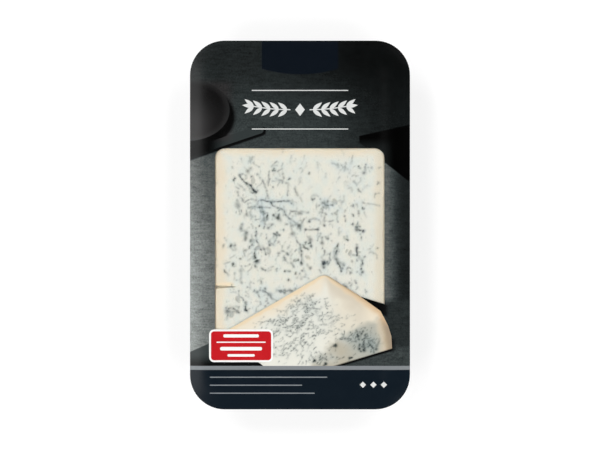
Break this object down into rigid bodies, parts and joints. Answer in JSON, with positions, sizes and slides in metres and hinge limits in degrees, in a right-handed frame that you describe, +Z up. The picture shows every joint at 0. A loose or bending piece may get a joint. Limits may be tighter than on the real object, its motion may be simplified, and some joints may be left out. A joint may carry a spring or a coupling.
{
  "type": "sealed tray pack of blue goat cheese",
  "caption": "Shut portion tray of blue goat cheese lying on its back: dark formed tray, veined slab, clear sealed film and a printed layer with a window over the slab.",
  "frame": {"origin": "on the surface that the tray's foot rests on, under the middle of the pack", "axes": "+Y towards the top of the printed front, +X to the right of it, +Z up out of the front"},
  "size_m": [0.105, 0.176, 0.0245],
  "materials": {
    "tray": "black thermoformed sheet, satin",
    "cheese": "moist cream paste with blue-grey veins and a tan rind",
    "film": "clear sealing film, glossy",
    "print": "dark slate print with plain fields of colour under a satin lacquer"
  },
  "bodies": {
    "root": {"tray": "tray", "cheese": "cheese", "clear_film": "film", "print_layer": "print"}
  },
  "joints": []
}
